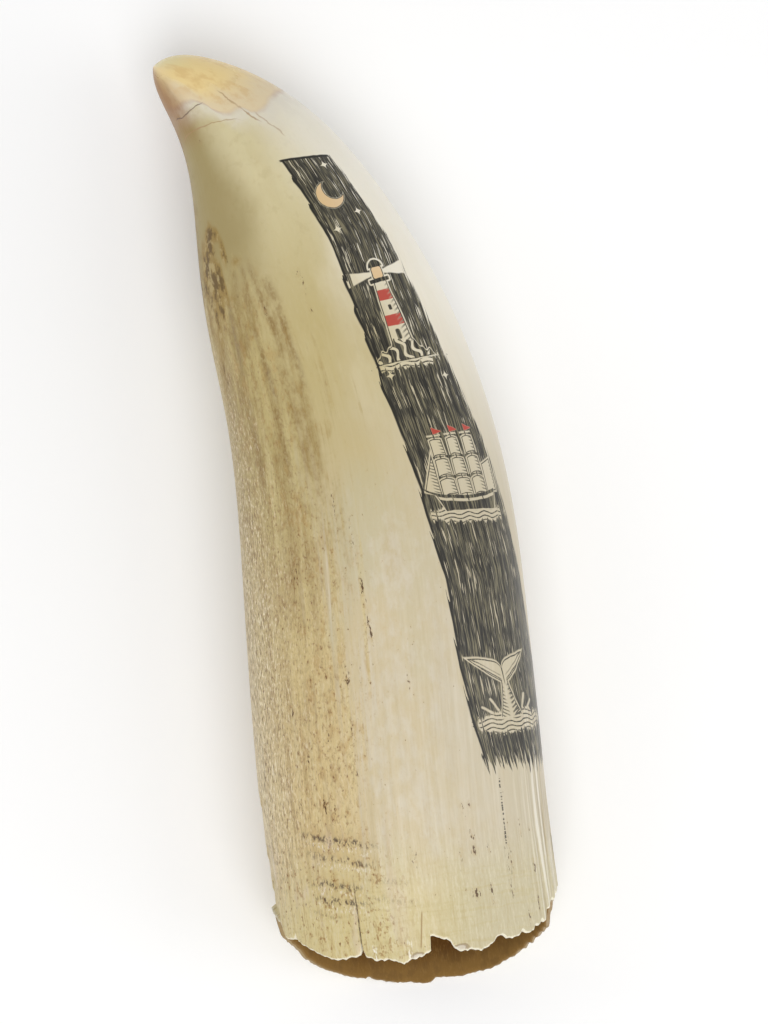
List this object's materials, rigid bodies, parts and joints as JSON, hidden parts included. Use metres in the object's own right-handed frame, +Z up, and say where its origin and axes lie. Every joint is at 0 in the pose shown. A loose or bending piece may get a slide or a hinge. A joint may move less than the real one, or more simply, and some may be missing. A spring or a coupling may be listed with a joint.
{
  "type": "scrimshaw whale tooth",
  "caption": "Curved whale tooth with a hollow, broken root and a worn tip, lying on its side; inked scrimshaw panel along its right side.",
  "frame": {"origin": "middle of the tooth's bounding box, at its lowest height", "axes": "+Y along the tooth towards its tip, which bends towards -X; +Z up, with the tooth lying on its broad side"},
  "size_m": [0.0726, 0.1674, 0.0419],
  "materials": {
    "ivory": "polished, semi-gloss, with brown age stains and black ink in engraved lines"
  },
  "bodies": {
    "root": {"tooth": "ivory"}
  },
  "joints": []
}
